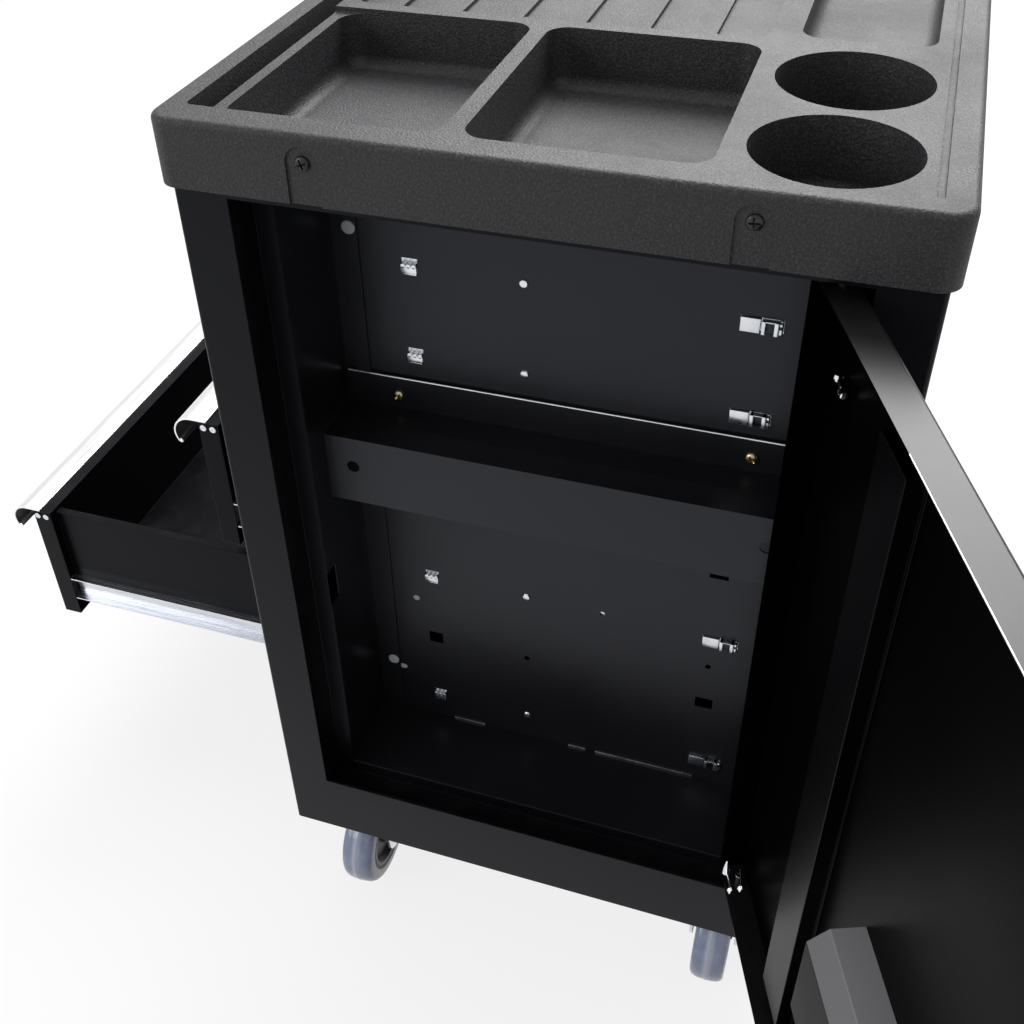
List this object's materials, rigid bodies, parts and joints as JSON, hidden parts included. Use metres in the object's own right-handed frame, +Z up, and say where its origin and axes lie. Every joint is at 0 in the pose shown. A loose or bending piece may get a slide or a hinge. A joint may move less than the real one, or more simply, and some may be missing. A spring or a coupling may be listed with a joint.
{
  "type": "rolling tool chest",
  "caption": "Black steel rolling tool chest on casters with ball-bearing drawers, an end locker with a hinged door and shelf, a moulded top tray and a push handle.",
  "frame": {"origin": "on the floor under the middle of the bounding box, with the door open and two drawers out", "axes": "+X towards the locker end, -Y the drawers' opening side, +Z up"},
  "size_m": [1.1778, 0.8717, 0.799],
  "materials": {
    "black_paint": "satin black powder coat",
    "handle_paint": "satin black powder coat",
    "tray_plastic": "fine grained black plastic",
    "black_plastic": "satin black plastic",
    "black_zinc": "black oxide",
    "brushed_aluminium": "brushed, anodised",
    "zinc": "bright zinc plate",
    "chrome": "polished",
    "pedal_steel": "zinc plated",
    "tread": "bluish grey polyurethane",
    "hub_plastic": "moulded dark grey"
  },
  "bodies": {
    "cabinet": {"back_panel": "black_paint", "base_pan": "black_paint", "cabinet_screws": "zinc", "caster_bolts": "zinc", "caster_plates": "zinc", "drawer_front_frame": "black_paint", "far_end_panel": "black_paint", "hinge_pins": "zinc", "hinge_plates": "zinc", "locker_floor": "black_paint", "locker_frame": "black_paint", "locker_shelf": "black_paint", "locker_side_panels": "black_paint", "partition_panel": "black_paint", "push_handle": "handle_paint", "rigid_axles": "zinc", "rigid_forks": "zinc", "slide_fixings": "zinc", "slide_rails": "zinc", "top_tray": "tray_plastic", "tray_screws": "black_zinc"},
    "door": {"door_handle_cup": "black_plastic", "door_panel": "black_paint", "door_stiffener": "black_paint"},
    "door_lock": {"door_lock": "chrome"},
    "drawer_lock": {"drawer_lock": "chrome"},
    "brake_1": {"brake_pedal_1": "pedal_steel"},
    "brake_2": {"brake_pedal_2": "pedal_steel"},
    "drawer_1": {"drawer_box_1": "black_paint", "drawer_front_1": "black_paint", "drawer_hardware_1": "zinc", "drawer_pull_1": "brushed_aluminium"},
    "drawer_2": {"drawer_box_2": "black_paint", "drawer_front_2": "black_paint", "drawer_hardware_2": "zinc", "drawer_pull_2": "brushed_aluminium"},
    "drawer_3": {"drawer_box_3": "black_paint", "drawer_front_3": "black_paint", "drawer_hardware_3": "zinc", "drawer_pull_3": "brushed_aluminium"},
    "drawer_4": {"drawer_box_4": "black_paint", "drawer_front_4": "black_paint", "drawer_hardware_4": "zinc", "drawer_pull_4": "brushed_aluminium"},
    "drawer_5": {"drawer_box_5": "black_paint", "drawer_front_5": "black_paint", "drawer_hardware_5": "zinc", "drawer_pull_5": "brushed_aluminium"},
    "swivel_1": {"swivel_axle_1": "zinc", "swivel_fork_1": "zinc"},
    "swivel_2": {"swivel_axle_2": "zinc", "swivel_fork_2": "zinc"},
    "wheel_1": {"wheel_hub_1": "hub_plastic", "wheel_tread_1": "tread"},
    "wheel_2": {"wheel_hub_2": "hub_plastic", "wheel_tread_2": "tread"},
    "wheel_3": {"wheel_hub_3": "hub_plastic", "wheel_tread_3": "tread"},
    "wheel_4": {"wheel_hub_4": "hub_plastic", "wheel_tread_4": "tread"}
  },
  "joints": [
    {"name": "drawer_1_slide", "type": "slide", "parent": "cabinet", "child": "drawer_1", "axis": [0, -1, 0], "range_m": [-0.304, 0]},
    {"name": "drawer_2_slide", "type": "slide", "parent": "cabinet", "child": "drawer_2", "axis": [0, -1, 0], "range_m": [-0.097, 0.207]},
    {"name": "drawer_3_slide", "type": "slide", "parent": "cabinet", "child": "drawer_3", "axis": [0, -1, 0], "range_m": [0, 0.304]},
    {"name": "drawer_4_slide", "type": "slide", "parent": "cabinet", "child": "drawer_4", "axis": [0, -1, 0], "range_m": [0, 0.304]},
    {"name": "drawer_5_slide", "type": "slide", "parent": "cabinet", "child": "drawer_5", "axis": [0, -1, 0], "range_m": [0, 0.304]},
    {"name": "door_hinge", "type": "hinge", "parent": "cabinet", "child": "door", "pos_m": [0.24659, 0.29528, 0.183], "axis": [0, 0, 1], "range_deg": [-111.5, 10]},
    {"name": "door_lock_turn", "type": "hinge", "parent": "door", "child": "door_lock", "pos_m": [0.55051, 0.42413, 0.393], "axis": [-0.3665, 0.9304, 0], "range_deg": [0, 90]},
    {"name": "drawer_lock_turn", "type": "hinge", "parent": "cabinet", "child": "drawer_lock", "pos_m": [-0.43441, -0.10722, 0.731], "axis": [0, -1, 0], "range_deg": [0, 90]},
    {"name": "swivel_1_turn", "type": "hinge", "parent": "cabinet", "child": "swivel_1", "pos_m": [-0.44641, -0.04722, 0.127], "axis": [0, 0, 1], "continuous": true},
    {"name": "swivel_2_turn", "type": "hinge", "parent": "cabinet", "child": "swivel_2", "pos_m": [-0.44641, 0.28978, 0.127], "axis": [0, 0, 1], "continuous": true},
    {"name": "wheel_1_spin", "type": "hinge", "parent": "cabinet", "child": "wheel_1", "pos_m": [0.20559, -0.05522, 0.0508], "axis": [0, 1, 0], "continuous": true},
    {"name": "wheel_2_spin", "type": "hinge", "parent": "cabinet", "child": "wheel_2", "pos_m": [0.20559, 0.28178, 0.0508], "axis": [0, 1, 0], "continuous": true},
    {"name": "wheel_3_spin", "type": "hinge", "parent": "swivel_1", "child": "wheel_3", "pos_m": [-0.48041, -0.04722, 0.0508], "axis": [0, 1, 0], "continuous": true},
    {"name": "wheel_4_spin", "type": "hinge", "parent": "swivel_2", "child": "wheel_4", "pos_m": [-0.48041, 0.28978, 0.0508], "axis": [0, 1, 0], "continuous": true},
    {"name": "brake_1_press", "type": "hinge", "parent": "swivel_1", "child": "brake_1", "pos_m": [-0.52041, -0.04722, 0.0978], "axis": [0, -1, 0], "range_deg": [0, 20]},
    {"name": "brake_2_press", "type": "hinge", "parent": "swivel_2", "child": "brake_2", "pos_m": [-0.52041, 0.28978, 0.0978], "axis": [0, -1, 0], "range_deg": [0, 20]}
  ]
}
